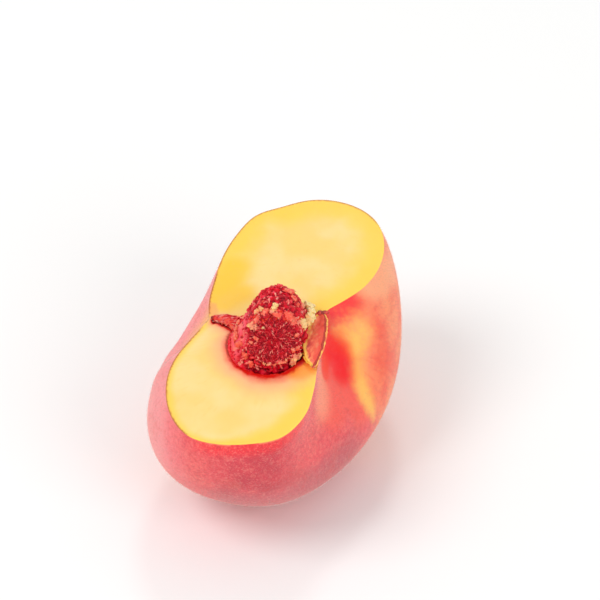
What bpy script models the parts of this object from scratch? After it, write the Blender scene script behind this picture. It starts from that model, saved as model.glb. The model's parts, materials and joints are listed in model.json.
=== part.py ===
"""Half of a flat peach, lying on its rounded side with the cut face up and its whole stone still in it.

The fruit is drawn in its own axes: X from the stem pit to the blossom scar, Y across the two lobes
that the cut shows, and Z out of the cut face. It is then leaned as it rests and set on the origin.
"""

import math

import bmesh
import bpy
import numpy as np
from mathutils import Matrix, Vector

MM = 0.001

# Cut face: each lobe's edge runs from the stem pit round its rim to the blossom scar,
# as (distance along the stem axis, distance from it), in millimetres
STEM_PIT = (-12.6, 0.0)
BLOSSOM_SCAR = (12.3, 0.0)
UPPER_LOBE = [
    STEM_PIT, (-14.2, 4.2), (-15.4, 10.0), (-16.6, 18.0), (-16.4, 24.5), (-14.6, 31.8),
    (-10.5, 35.3), (-5.5, 38.9), (0.0, 40.0), (5.8, 38.9), (10.6, 35.8), (14.2, 30.0),
    (15.6, 23.0), (14.6, 16.6), (11.6, 11.2), (9.2, 7.4), (11.0, 4.0), BLOSSOM_SCAR,
]
LOWER_LOBE = [
    STEM_PIT, (-13.5, 5.0), (-14.7, 12.5), (-13.6, 19.4), (-9.6, 26.9), (-4.2, 31.3),
    (1.5, 32.0), (8.5, 30.2), (13.6, 27.1), (15.9, 20.5), (15.0, 12.8), (13.6, 7.4),
    (12.9, 3.5), BLOSSOM_SCAR,
]

# Body under the cut, at 45, 90 and 135 degrees round the stem axis from the upper lobe: how far it swells
# on the stem side and how far out that shoulder lies, how far it swells on the blossom side, and the
# rim's distance from the axis
BELLY = [(19.9, 11.7, 21.1, 40.1), (21.1, 9.8, 20.6, 35.6), (21.1, 13.6, 16.7, 34.9)]
STATIONS_DEG = (0.0, 45.0, 90.0, 135.0, 180.0)
BLOSSOM_SHOULDER_R = 17.0
CORNER_POWER = 0.82

# Suture, the groove that runs out of the blossom scar and out of the stem pit and fades towards the rim
SUTURE_DEG = 86.0
SUTURE_WIDTH = 4.6
SUTURE_DEEPEST_R = 9.0
SUTURE_RUN = 7.0
SUTURE_DEPTH_AT_SCAR = 1.3
SUTURE_DEPTH_AT_STEM = 0.9

STEPS_ROUND = 48
STEPS_HALF_SECTION = 22
LINE_STEPS = 60

# Stone: a flattened round stone with its thin way along the stem axis, turned about the way out of
# the cut face and then tipped, with a collar of fibre low on its stem side and a waist above that
STONE_CENTRE = Vector((2.1, -1.4, 0.0))
STONE_RADII = Vector((7.0, 10.4, 10.7))
STONE_TWIST_DEG = 18.0
STONE_TIP_DEG = 15.0
COLLAR_DIRECTION = Vector((-0.84, -0.54, 0.0))
COLLAR_BULGE = 1.9
COLLAR_SPREAD = 0.3
COLLAR_FLATNESS = 4
WAIST_DIRECTION = Vector((-0.90, 0.33, 0.25))
WAIST_DEPTH = 1.2
WAIST_SPREAD = 0.13

# Its relief: ridges that wander round from one end to the other, crossed by rows of pits
RELIEF_DEPTH = 0.7
RIDGES = 11
RIDGE_SHARE = 0.65
RIDGE_WANDER = 1.0
PIT_ROWS = 14
PIT_WANDER = 3.0
STONE_STEPS = 5
HOLLOW_STEPS = 4

# Strand of fibre from the stem pit to the stone: points along it and its radius at each
STRAND = [
    ((-11.9, 0.1, 0.1), 0.55), ((-10.6, 0.4, 0.25), 0.9), ((-9.0, 0.3, 0.3), 1.1),
    ((-7.2, 0.0, 0.3), 1.4), ((-5.2, -0.8, 0.2), 1.9), ((-2.8, -1.4, 0.0), 2.3),
]
STRAND_SIDES = 12
STRAND_RIB = 0.12

# Clearance all round the stone and its strand in the hollow that holds them
GAP = 0.3

# Rest: how far the blossom end and the upper lobe are lifted, and how deep the flat spot is cut
BLOSSOM_END_UP_DEG = 4.2
UPPER_LOBE_UP_DEG = 5.2
FLAT_SPOT_DEPTH = 0.5

# Edges sharper than this, such as the rim of the cut, are shaded as edges
SHARP_EDGE_DEG = 38.0


def smooth_line(points):
    """A centripetal Catmull-Rom line through the points."""
    p = np.array(points, float)
    p = np.vstack([2 * p[0] - p[1], p, 2 * p[-1] - p[-2]])
    knots = np.concatenate([[0.0], np.cumsum(np.sqrt(np.linalg.norm(np.diff(p, axis=0), axis=1)))])
    line = []
    for i in range(1, len(p) - 2):
        t0, t1, t2, t3 = knots[i - 1:i + 3]
        t = np.linspace(t1, t2, LINE_STEPS, endpoint=False)[:, None]
        a1 = ((t1 - t) * p[i - 1] + (t - t0) * p[i]) / (t1 - t0)
        a2 = ((t2 - t) * p[i] + (t - t1) * p[i + 1]) / (t2 - t1)
        a3 = ((t3 - t) * p[i + 1] + (t - t2) * p[i + 2]) / (t3 - t2)
        b1 = ((t2 - t) * a1 + (t - t0) * a2) / (t2 - t0)
        b2 = ((t3 - t) * a2 + (t - t1) * a3) / (t3 - t1)
        line.append(((t2 - t) * b1 + (t - t1) * b2) / (t2 - t1))
    line.append(p[-2][None, :])
    return np.vstack(line)


def belly_section(stem_swell, stem_shoulder, blossom_swell, rim):
    """A section from pit to shoulder to rim to shoulder to scar, with round pits and full corners."""
    t = np.linspace(0.0, 1.0, LINE_STEPS)
    dip = 0.5 - 0.5 * np.cos(np.pi * t)
    corner_a = np.cos(np.pi / 2 * t) ** CORNER_POWER
    corner_r = np.sin(np.pi / 2 * t) ** CORNER_POWER

    def side(pit, swell, shoulder):
        inner = np.stack([pit + (swell - pit) * dip, shoulder * t], -1)
        outer = np.stack([swell * corner_a, shoulder + (rim - shoulder) * corner_r], -1)
        return np.vstack([inner[:-1], outer])

    stem = side(STEM_PIT[0], -stem_swell, stem_shoulder)
    blossom = side(BLOSSOM_SCAR[0], blossom_swell, BLOSSOM_SHOULDER_R)
    return np.vstack([stem[:-1], blossom[::-1]])


def evenly(section, steps):
    """The same section with even steps from the pit to the rim's top and from there to the scar."""
    top = int(np.argmax(section[:, 1]))
    halves = []
    for part in (section[:top + 1], section[top:]):
        run = np.concatenate([[0.0], np.cumsum(np.linalg.norm(np.diff(part, axis=0), axis=1))])
        at = np.linspace(0.0, run[-1], steps + 1)
        halves.append(np.stack([np.interp(at, run, part[:, 0]), np.interp(at, run, part[:, 1])], -1))
    return np.vstack([halves[0], halves[1][1:]])


def section_at(degrees, sections):
    """The section at an angle round the stem axis, on one smooth curve through the five stations."""
    row = np.zeros_like(sections[0])
    for station, section in zip(STATIONS_DEG, sections):
        others = [s for s in STATIONS_DEG if s != station]
        row += section * math.prod((degrees - s) / (station - s) for s in others)
    return row


def suture_depth(degrees, radius):
    """How deep the groove is along one section, from the pit to the scar."""
    across = np.radians(degrees - SUTURE_DEG) * radius / SUTURE_WIDTH
    along = (radius - SUTURE_DEEPEST_R) / SUTURE_RUN
    blossom_side = np.arange(len(radius)) > STEPS_HALF_SECTION
    deepest = np.where(blossom_side, SUTURE_DEPTH_AT_SCAR, SUTURE_DEPTH_AT_STEM)
    return deepest * np.exp(-across**2 - along**2)


def body_points():
    """Skin points in the fruit's axes, one row of them for each step round the stem axis."""
    sections = [evenly(smooth_line(UPPER_LOBE), STEPS_HALF_SECTION)]
    sections += [evenly(belly_section(*belly), STEPS_HALF_SECTION) for belly in BELLY]
    sections.append(evenly(smooth_line(LOWER_LOBE), STEPS_HALF_SECTION))
    rows = []
    for degrees in np.linspace(0.0, 180.0, STEPS_ROUND + 1):
        row = section_at(degrees, sections)
        tangent = np.gradient(row, axis=0)
        tangent /= np.linalg.norm(tangent, axis=1)[:, None]
        depth = suture_depth(degrees, row[:, 1])
        along = row[:, 0] + depth * tangent[:, 1]
        radius = row[:, 1] - depth * tangent[:, 0]
        turn = math.radians(degrees)
        rows.append(np.stack([along, radius * math.cos(turn), -radius * math.sin(turn)], -1))
    return rows


def new_object(name, bm, *materials):
    mesh = bpy.data.meshes.new(name)
    bm.to_mesh(mesh)
    bm.free()
    for material in materials:
        mesh.materials.append(material)
    obj = bpy.data.objects.new(name, mesh)
    bpy.context.scene.collection.objects.link(obj)
    return obj


def principled(name, colour, roughness, subsurface=0.0):
    material = bpy.data.materials.new(name)
    material.use_nodes = True
    shader = material.node_tree.nodes["Principled BSDF"]
    shader.inputs["Base Color"].default_value = (*colour, 1.0)
    shader.inputs["Roughness"].default_value = roughness
    shader.inputs["Metallic"].default_value = 0.0
    shader.inputs["Subsurface Weight"].default_value = subsurface
    return material


def make_half(skin, flesh):
    """Skin over the rows of points, closed by the flat cut face."""
    bm = bmesh.new()
    rows = body_points()
    stem = bm.verts.new(Vector(rows[0][0]) * MM)
    scar = bm.verts.new(Vector(rows[0][-1]) * MM)
    grid = [[stem, *(bm.verts.new(Vector(p) * MM) for p in row[1:-1]), scar] for row in rows]
    for here, beyond in zip(grid, grid[1:]):
        for i in range(len(here) - 1):
            corners = [here[i], here[i + 1], beyond[i + 1], beyond[i]]
            bm.faces.new(list(dict.fromkeys(corners)))
    cut_face = bm.faces.new(grid[0] + grid[-1][-2:0:-1])
    cut_face.material_index = 1
    bmesh.ops.recalc_face_normals(bm, faces=bm.faces)
    return new_object("fruit_half", bm, skin, flesh)


def stone_relief(direction):
    """How far the ridges and pits lie below the stone's plain surface along a unit direction."""
    round_stone = math.atan2(direction.z, direction.y)
    wander = RIDGE_WANDER * math.sin(5 * direction.x + 2 * round_stone)
    ridge = 0.5 + 0.5 * math.sin(RIDGES * round_stone + wander)
    pit_wander = PIT_WANDER * math.sin(RIDGES / 2 * round_stone)
    pit = 0.5 + 0.5 * math.sin(PIT_ROWS * direction.x + pit_wander)
    return RELIEF_DEPTH * (RIDGE_SHARE * ridge**2 + (1 - RIDGE_SHARE) * pit**2)


def lump(outward, direction, spread):
    """A smooth hump on the stone, 1 in the middle of it and 0 away from it."""
    return math.exp(-((1 - outward.dot(direction.normalized())) / spread) ** 2)


def stone_point(direction, clearance):
    """The stone's surface along a unit direction, or with some clearance the plain hollow round it."""
    turn = Matrix.Rotation(math.radians(STONE_TIP_DEG), 3, "Y")
    turn = turn @ Matrix.Rotation(math.radians(STONE_TWIST_DEG), 3, "Z")
    base = turn @ Vector(d * r for d, r in zip(direction, STONE_RADII))
    outward = turn @ direction
    collar = lump(outward, COLLAR_DIRECTION, COLLAR_SPREAD) * (1 - outward.z**2) ** COLLAR_FLATNESS
    waist = lump(outward, WAIST_DIRECTION, WAIST_SPREAD)
    raised = COLLAR_BULGE * collar - WAIST_DEPTH * waist + clearance
    if clearance == 0.0:
        raised -= stone_relief(direction)
    return STONE_CENTRE + base + outward * raised


def make_strand(name, clearance):
    """A ribbed tube along the strand, or with some clearance the channel that it lies in."""
    bm = bmesh.new()
    points = [Vector(point) for point, radius in STRAND]
    rings = []
    for i, (_, radius) in enumerate(STRAND):
        run = (points[min(i + 1, len(points) - 1)] - points[max(i - 1, 0)]).normalized()
        turned = run.to_track_quat("Z", "Y").to_matrix()
        centre = points[i] - run * clearance if i == 0 else points[i]
        ring = []
        for k in range(STRAND_SIDES):
            angle = 2 * math.pi * k / STRAND_SIDES
            rib = 1.0 if clearance else 1.0 - STRAND_RIB * (k % 2)
            offset = Vector((math.cos(angle), math.sin(angle), 0.0)) * (radius * rib + clearance)
            ring.append(bm.verts.new((centre + turned @ offset) * MM))
        rings.append(ring)
    for here, beyond in zip(rings, rings[1:]):
        for k in range(STRAND_SIDES):
            after = (k + 1) % STRAND_SIDES
            bm.faces.new([here[k], here[after], beyond[after], beyond[k]])
    bm.faces.new(rings[0])
    bm.faces.new(rings[-1])
    bmesh.ops.recalc_face_normals(bm, faces=bm.faces)
    return new_object(name, bm)


def make_stone(name, steps, clearance, material):
    """The stone with its strand, or with some clearance the hollow that holds them."""
    bm = bmesh.new()
    bmesh.ops.create_icosphere(bm, subdivisions=steps, radius=1.0)
    for vert in bm.verts:
        vert.co = stone_point(vert.co.normalized(), clearance) * MM
    stone = new_object(name, bm, material)
    apply_boolean(stone, make_strand(name + "_strand", clearance), "UNION")
    return stone


def apply_boolean(obj, other, operation):
    """Joins or cuts obj by other and removes other."""
    modifier = obj.modifiers.new(operation.lower(), "BOOLEAN")
    modifier.operation = operation
    modifier.solver = "EXACT"
    modifier.object = other
    bpy.context.view_layer.update()
    evaluated = obj.evaluated_get(bpy.context.evaluated_depsgraph_get())
    mesh = bpy.data.meshes.new_from_object(evaluated)
    obj.modifiers.clear()
    obj.data = mesh
    bpy.data.objects.remove(other)


def flatten_spot(obj):
    """Cuts the lowest skin away level and returns the middle of the flat spot that is left."""
    bm = bmesh.new()
    bm.from_mesh(obj.data)
    level = min(vert.co.z for vert in bm.verts) + FLAT_SPOT_DEPTH * MM
    everything = bm.verts[:] + bm.edges[:] + bm.faces[:]
    bmesh.ops.bisect_plane(
        bm, geom=everything, plane_co=(0, 0, level), plane_no=(0, 0, -1), clear_outer=True
    )
    rim = [edge for edge in bm.edges if edge.is_boundary]
    spot = bmesh.ops.contextual_create(bm, geom=rim)["faces"][0]
    spot.material_index = 0
    bmesh.ops.recalc_face_normals(bm, faces=bm.faces)
    middle = spot.calc_center_median_weighted()
    bm.to_mesh(obj.data)
    bm.free()
    return middle


def main():
    for obj in list(bpy.data.objects):
        bpy.data.objects.remove(obj)

    skin = principled("peach_skin", (0.85, 0.22, 0.16), 0.75)
    flesh = principled("peach_flesh", (0.98, 0.72, 0.28), 0.42, subsurface=0.2)
    stone_red = principled("peach_stone", (0.45, 0.02, 0.03), 0.5)

    half = make_half(skin, flesh)
    apply_boolean(half, make_stone("hollow", HOLLOW_STEPS, GAP, flesh), "DIFFERENCE")
    stone = make_stone("stone", STONE_STEPS, 0.0, stone_red)

    lean = Matrix.Rotation(math.radians(UPPER_LOBE_UP_DEG), 4, "X")
    lean = lean @ Matrix.Rotation(math.radians(-BLOSSOM_END_UP_DEG), 4, "Y")
    for obj in (half, stone):
        obj.data.transform(lean)
    to_origin = Matrix.Translation(-flatten_spot(half))
    for obj in (half, stone):
        obj.data.transform(to_origin)
        obj.data.shade_smooth()
        obj.data.set_sharp_from_angle(angle=math.radians(SHARP_EDGE_DEG))


main()
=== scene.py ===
"""Looks of half a flat peach: velvety skin, moist cut flesh and the wet red stone that stands out of it."""

import json
import math
import random

import bmesh
import bpy
import numpy as np
from mathutils import Matrix, Vector, noise
from mathutils.geometry import delaunay_2d_cdt
from mathutils.kdtree import KDTree

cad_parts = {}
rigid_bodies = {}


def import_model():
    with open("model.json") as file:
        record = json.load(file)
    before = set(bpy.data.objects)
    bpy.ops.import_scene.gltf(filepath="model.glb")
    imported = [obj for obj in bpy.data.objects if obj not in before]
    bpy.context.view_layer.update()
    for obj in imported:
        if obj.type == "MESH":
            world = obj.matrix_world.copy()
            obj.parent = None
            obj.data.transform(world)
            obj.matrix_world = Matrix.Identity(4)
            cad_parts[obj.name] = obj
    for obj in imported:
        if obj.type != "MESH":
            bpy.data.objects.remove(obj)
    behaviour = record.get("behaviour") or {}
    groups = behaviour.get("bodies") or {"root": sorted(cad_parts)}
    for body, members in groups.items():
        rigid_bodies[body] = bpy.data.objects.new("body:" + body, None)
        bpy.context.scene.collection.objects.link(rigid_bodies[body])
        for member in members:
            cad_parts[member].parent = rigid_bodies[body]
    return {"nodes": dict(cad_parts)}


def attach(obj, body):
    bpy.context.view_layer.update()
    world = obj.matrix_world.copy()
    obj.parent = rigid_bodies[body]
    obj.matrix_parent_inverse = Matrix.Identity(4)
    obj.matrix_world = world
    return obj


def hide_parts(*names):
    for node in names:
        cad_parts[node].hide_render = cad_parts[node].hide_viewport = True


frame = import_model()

scene = bpy.context.scene
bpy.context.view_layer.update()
MM = 0.001


# Studio: a pale matt floor under a large soft light from the upper left, a weaker one from the right,
# and an even white surround, as for a fruit on a white ground. The camera looks down 39 degrees.
FLOOR_HALF_WIDTH = 2.0
CAMERA_LENS_MM = 181.93
CAMERA_PLACE = Vector((0.16880, -0.43106, 0.42054))
CAMERA_AIM = Vector((0.00455, 0.00245, 0.03952))


def srgb(colour):
    """A hex colour as the linear colour that a shader takes."""
    parts = [int(colour[i:i + 2], 16) / 255 for i in (1, 3, 5)]
    return (*[p / 12.92 if p <= 0.04045 else ((p + 0.055) / 1.055) ** 2.4 for p in parts], 1.0)


def new_material(name):
    material = bpy.data.materials.new(name)
    material.use_nodes = True
    return material


def set_inputs(material, node, inputs):
    """Each input gets a plain value or a link from another node's outlet."""
    for name, value in dict(inputs).items():
        if isinstance(value, bpy.types.NodeSocket):
            material.node_tree.links.new(value, node.inputs[name])
        else:
            node.inputs[name].default_value = value


def add_node(material, kind, inputs=(), outlet=0, **settings):
    """Adds a shader node and gives one of its outlets."""
    node = material.node_tree.nodes.new("ShaderNode" + kind)
    for name, value in settings.items():
        setattr(node, name, value)
    set_inputs(material, node, inputs)
    return node.outputs[outlet]


def set_surface(material, inputs):
    set_inputs(material, material.node_tree.nodes["Principled BSDF"], inputs)


bpy.ops.mesh.primitive_plane_add(size=2 * FLOOR_HALF_WIDTH)
floor = bpy.context.object
floor.name = "studio_floor"

# Matt white board: it takes soft shadows and shows no gloss
white_board = new_material("matt_white_board")
set_surface(white_board, {
    "Base Color": srgb("#F8F8F7"),
    "Roughness": 0.9,
    "Specular IOR Level": 0.1,
})
floor.data.materials.append(white_board)

for name, place, width, watts in [
    ("key_light", (-0.50, -0.50, 0.95), 0.6, 4.8),
    ("fill_light", (0.85, -0.45, 0.60), 0.7, 3.4),
    ("glint_light", (-0.15, 0.55, 0.85), 0.2, 1.2),
]:
    bpy.ops.object.light_add(type="AREA", location=place)
    light = bpy.context.object
    light.name = name
    light.data.shape = "DISK"
    light.data.size = width
    light.data.energy = watts
    light.rotation_euler = Vector(place).to_track_quat("Z", "Y").to_euler()
    light.visible_camera = False

world = bpy.data.worlds.new("white_surround")
world.use_nodes = True
world.node_tree.nodes["Background"].inputs["Color"].default_value = srgb("#FFFFFF")
world.node_tree.nodes["Background"].inputs["Strength"].default_value = 0.62
scene.world = world
scene.view_settings.view_transform = "Standard"

bpy.ops.object.camera_add(location=CAMERA_PLACE)
camera = bpy.context.object
camera.rotation_euler = (CAMERA_PLACE - CAMERA_AIM).to_track_quat("Z", "Y").to_euler()
camera.data.lens = CAMERA_LENS_MM
camera.data.sensor_width = 36.0
scene.camera = camera


# Half fruit: skin and flesh of one piece, cut in a plane through the stem pit and the blossom scar.
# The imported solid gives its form. Its skin is rounded, and the cut is filled again with fine flesh.
FRUIT_ORIGIN = Vector((-0.00031084, -0.0035721, 0.0349777))
UPPER_LOBE_UP_DEG = 5.2
BLOSSOM_END_UP_DEG = 4.2
STONE_CENTRE = Vector((2.1, -1.4, 0.0))
STONE_RADII = (7.0, 10.4, 10.7)

# How near their planes the corners of the cut and of the flat foot lie, in millimetres
CUT_WITHIN = 0.004
FOOT_WITHIN = 0.005

# Marks on the blossom side of the skin, as (degrees round the stem axis, mm from it)
YELLOW_WEDGE = [
    (30, 5.0), (44, 5.8), (55, 7.0), (70, 8.8), (87, 11.2), (94, 14.0), (93, 17.0), (87, 21.0),
    (84, 18.0), (80, 14.2), (71, 11.4), (58, 9.8), (42, 10.2), (27, 12.0), (17, 11.4), (21, 8.6),
]
RED_VALLEY = [(50, 2.4), (60, 3.4), (68, 5.2), (76, 7.0), (86, 8.2)]
ORANGE_FOOT_OF_SCAR = [(95, 3.4), (118, 4.8), (128, 6.0)]
PEACH_RIM = [(2, 19.0), (6, 24.0), (8, 28.0)]
# Painted highlight: a lighter salmon streak down the ridge below the cut's lower corner, where it catches
# light
RIDGE_HIGHLIGHT_LINE = [(156, 7.0), (150, 10.0), (150, 12.5)]
ROSE_SHOULDER = [(14, 5.0), (6, 7.0), (1, 10.5), (0, 12.0)]
CORAL_FLANK = [(132, 13.0), (122, 9.5), (110, 9.5), (98, 12.0), (94, 15.0)]
CHEEK_BLUSH = [(30, 14.5), (44, 15.0), (60, 14.5)]

# Marks as places in fruit millimetres: along the stem axis, across the lobes and out of the cut
CRIMSON_PATCH = (9.5, -29.5, -7.5)
# Painted shade: a duskier rose laid along the underside, where less light falls, round these places
PAINTED_SHADE_UNDERSIDE = [
    (4, -29.5, -18.5), (7.5, -27, -20), (10.5, -24, -21),
    (13, -21, -22), (15.3, -15.7, -22.7), (17, -10, -24),
]
GOLDEN_FLESH = [(-9.5, 8.6), (-11.5, 5.6), (-12.6, 10.0), (-12.9, 15.3)]
SALMON_SPOTS = [(-13.4, 3.6), (-12.2, 2.4)]
ORANGE_SPOT = (10.4, -8.5)

fruit_to_part = (
    Matrix.Translation(FRUIT_ORIGIN)
    @ Matrix.Rotation(math.radians(UPPER_LOBE_UP_DEG), 4, "X")
    @ Matrix.Rotation(math.radians(-BLOSSOM_END_UP_DEG), 4, "Y")
)
part_to_fruit = fruit_to_part.inverted()
CUT_NORMAL = (fruit_to_part.to_3x3() @ Vector((0, 0, 1))).normalized()


def copy_of_node(node, name):
    """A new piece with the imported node's mesh, its loose triangles joined, ready in edit mode."""
    piece = bpy.data.objects.new(name, frame["nodes"][node].data.copy())
    scene.collection.objects.link(piece)
    piece.data.materials.clear()
    bpy.ops.object.select_all(action="DESELECT")
    piece.select_set(True)
    bpy.context.view_layer.objects.active = piece
    bpy.ops.object.mode_set(mode="EDIT")
    bpy.ops.mesh.select_all(action="SELECT")
    bpy.ops.mesh.remove_doubles(threshold=0.01 * MM)
    bpy.ops.mesh.tris_convert_to_quads(face_threshold=math.radians(30), shape_threshold=math.radians(50))
    return piece


def select_faces(piece, test):
    """In edit mode, selects only the faces that pass the test."""
    bpy.ops.mesh.select_mode(type="FACE")
    bpy.ops.mesh.select_all(action="DESELECT")
    mesh = bmesh.from_edit_mesh(piece.data)
    for face in mesh.faces:
        if test(face):
            face.select_set(True)
    mesh.select_flush_mode()
    bmesh.update_edit_mesh(piece.data)


def give_material(piece, slot):
    piece.active_material_index = slot
    bpy.ops.object.material_slot_assign()


def apply_modifier(piece, kind, **settings):
    modifier = piece.modifiers.new(kind.lower(), kind)
    for name, value in settings.items():
        setattr(modifier, name, value)
    bpy.context.view_layer.objects.active = piece
    bpy.ops.object.modifier_apply(modifier=modifier.name)


def is_cut_face(face):
    return all(abs((vert.co - FRUIT_ORIGIN).dot(CUT_NORMAL)) < CUT_WITHIN * MM for vert in face.verts)


def vertex_places(piece):
    """The piece's vertices in the fruit's own axes, in millimetres."""
    flat = np.empty(3 * len(piece.data.vertices))
    piece.data.vertices.foreach_get("co", flat)
    matrix = np.array(part_to_fruit)
    return (flat.reshape(-1, 3) @ matrix[:3, :3].T + matrix[:3, 3]) / MM


def move_to(piece, places):
    """Moves the piece's vertices to places in the fruit's own axes, in millimetres."""
    matrix = np.array(fruit_to_part)
    piece.data.vertices.foreach_set("co", (places * MM @ matrix[:3, :3].T + matrix[:3, 3]).ravel())
    piece.data.update()


def note_on_vertices(piece, name, values):
    """Keeps one number for each vertex, which the piece's material reads."""
    piece.data.attributes.new(name, "FLOAT", "POINT").data.foreach_set("value", values.astype(np.float32))


def distance_to(places, some):
    """How far each place is from the nearest of some of them."""
    tree = KDTree(len(some))
    for number, place in enumerate(some):
        tree.insert(Vector(place), number)
    tree.balance()
    return np.array([tree.find(Vector(place))[2] for place in places])


def fade(values, start, end):
    """0 before start, 1 after end and a smooth turn between them; start may lie above end."""
    t = np.clip((values - start) / (end - start), 0, 1)
    return t * t * (3 - 2 * t)


def distance_to_line(x, y, line):
    """How far points of a plane are from a line through some corners."""
    nearest = np.full(len(x), np.inf)
    for (x0, y0), (x1, y1) in zip(line, line[1:]):
        run = (x1 - x0) ** 2 + (y1 - y0) ** 2
        t = np.clip(((x - x0) * (x1 - x0) + (y - y0) * (y1 - y0)) / run, 0, 1)
        nearest = np.minimum(nearest, np.hypot(x - x0 - t * (x1 - x0), y - y0 - t * (y1 - y0)))
    return nearest


def is_inside(x, y, sides):
    """Whether points of a plane lie inside the shape that some straight sides go round."""
    inside = np.zeros(len(x), bool)
    for (x0, y0), (x1, y1) in sides:
        crosses = (y0 > y) != (y1 > y)
        inside ^= crosses & (x < x0 + (x1 - x0) * (y - y0) / (y1 - y0 + 1e-12))
    return inside


half = copy_of_node("fruit_half", "peach_half")
skin = new_material("velvety_peach_skin")
flesh = new_material("moist_cut_peach_flesh")
half.data.materials.append(skin)
half.data.materials.append(flesh)
bpy.ops.mesh.select_all(action="SELECT")
give_material(half, 1)
select_faces(half, is_cut_face)
bpy.ops.mesh.delete(type="FACE")
select_faces(half, lambda face: all(vert.co.z < FOOT_WITHIN * MM for vert in face.verts))
bpy.ops.mesh.dissolve_faces()
bpy.ops.mesh.select_linked()
give_material(half, 0)
bpy.ops.object.mode_set(mode="OBJECT")
apply_modifier(half, "SUBSURF", levels=2, render_levels=2)

# The cut surface is an even net of fine triangles between the rim of the skin and that of the hollow.
# Its knots stand in rows of equal triangles, wide enough for the whole cut, and keep off the rims.
FLESH_GRAIN = 0.36
NET_ROWS, NET_COLUMNS = 130, 80
ROW_STEP = 0.866
KNOT_TO_RIM = 0.6

mesh = bmesh.new()
mesh.from_mesh(half.data)
rim_edges = [edge for edge in mesh.edges if edge.is_boundary]
rim = sorted({vert for edge in rim_edges for vert in edge.verts}, key=lambda vert: vert.index)
rim_number = {vert: number for number, vert in enumerate(rim)}
rim_places = [(part_to_fruit @ vert.co).xy / MM for vert in rim]
rim_pairs = [tuple(rim_number[vert] for vert in edge.verts) for edge in rim_edges]
rim_sides = [(rim_places[a], rim_places[b]) for a, b in rim_pairs]
rows, columns = np.mgrid[-NET_ROWS:NET_ROWS, -NET_COLUMNS:NET_COLUMNS]
knot_along = (columns + 0.5 * (rows % 2)).ravel()
net = np.stack([knot_along, ROW_STEP * rows.ravel(), 0 * rows.ravel()]).T * FLESH_GRAIN
net = net[is_inside(net[:, 0], net[:, 1], rim_sides)]
net = net[distance_to(net, [(*place, 0) for place in rim_places]) > KNOT_TO_RIM * FLESH_GRAIN]
knots, _, triangles, first_knots, _, _ = delaunay_2d_cdt(
    rim_places + [Vector(place[:2]) for place in net], rim_pairs, [], 0, 1e-6
)
knot_verts = [
    rim[first[0]] if first[0] < len(rim) else mesh.verts.new(fruit_to_part @ (knot.to_3d() * MM))
    for knot, first in zip(knots, first_knots)
]
middles = np.array([
    sum((knots[corner] for corner in triangle), Vector((0, 0))) / 3 for triangle in triangles
])
for triangle, inside in zip(triangles, is_inside(middles[:, 0], middles[:, 1], rim_sides)):
    if inside:
        mesh.faces.new([knot_verts[corner] for corner in triangle]).material_index = 1
for edge in rim_edges:
    edge.smooth = False
mesh.verts.index_update()
on_skin, on_cut, in_hollow = (np.zeros(len(mesh.verts), bool) for part in range(3))
for face in mesh.faces:
    where = on_skin if face.material_index == 0 else on_cut if is_cut_face(face) else in_hollow
    where[[vert.index for vert in face.verts]] = True
mesh.to_mesh(half.data)
mesh.free()

# The flesh clings to the stone on the stem side, and its torn lip stands a little proud round the stone
LIP_RISE = 0.35
LIP_REACH = 0.45
LIP_WIDE = 1.6
LIP_TEARS = 0.9

places = vertex_places(half)
along, across, out = places.T
near_stone = fade(distance_to(places, places[in_hollow & on_cut]), LIP_WIDE, 0.0) * (in_hollow | on_cut)
stem_half = fade(along, 4.0, -1.0)
inward = (np.array(STONE_CENTRE) - places) * (1, 1, 0)
inward /= np.linalg.norm(inward, axis=1)[:, None]
tears = np.array([noise.fractal(Vector(place) * LIP_TEARS, 1.0, 2.0, 3) for place in places])
places += inward * (LIP_REACH * near_stone * (0.15 + 0.85 * stem_half))[:, None]
places[:, 2] += near_stone * on_cut * LIP_RISE * tears

# The solid is a little hollow on the stem side, between the pit and the cut, so the skin is filled out
# there: a soft swelling round a place given in degrees round the stem axis and in millimetres from it
FILL_HEIGHT = 1.1
FILL_TURN, FILL_TURN_REACH = 95.0, 40.0
FILL_RADIUS, FILL_RADIUS_REACH = 9.5, 3.0

turn = np.degrees(np.arctan2(-out, across))
radius = np.hypot(across, out)
fill = np.exp(
    -(((turn - FILL_TURN) / FILL_TURN_REACH) ** 2) - ((radius - FILL_RADIUS) / FILL_RADIUS_REACH) ** 2
)
places[:, 0] -= FILL_HEIGHT * fill * fade(along, 0.0, -5.0) * (on_skin & ~on_cut)
move_to(half, places)

# Flesh marks: distances from the skin and from the stone's edge place the golden band and the red stain.
# In each fade of a mark, its first number is where the mark begins and its second where it is full, in
# fruit millimetres, or in degrees for a turn round the stem axis.
MID_RADIUS_OF_STAIN = 12.0
DARK_LINE_WIDE, DARK_LINE_FULL = 0.5, 0.15
FAR_FROM_RIM = 9.0

places = vertex_places(half)
along, across, out = places.T
from_skin = distance_to(places, places[on_skin & on_cut])
from_stone = distance_to(places, places[in_hollow & on_cut])
round_stone = np.arctan2(across - STONE_CENTRE.y, STONE_CENTRE.x - along)
# The stain reaches further on the lower side, below the stone: partly the stone's red stain, partly painted
# shadow under it
lower_side = fade(across - 0.25 * along, 3.0, -6.0)
from_stone /= 0.2 + 0.8 * lower_side * (0.6 + 0.4 * fade(along, -2.0, 3.0))
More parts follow.
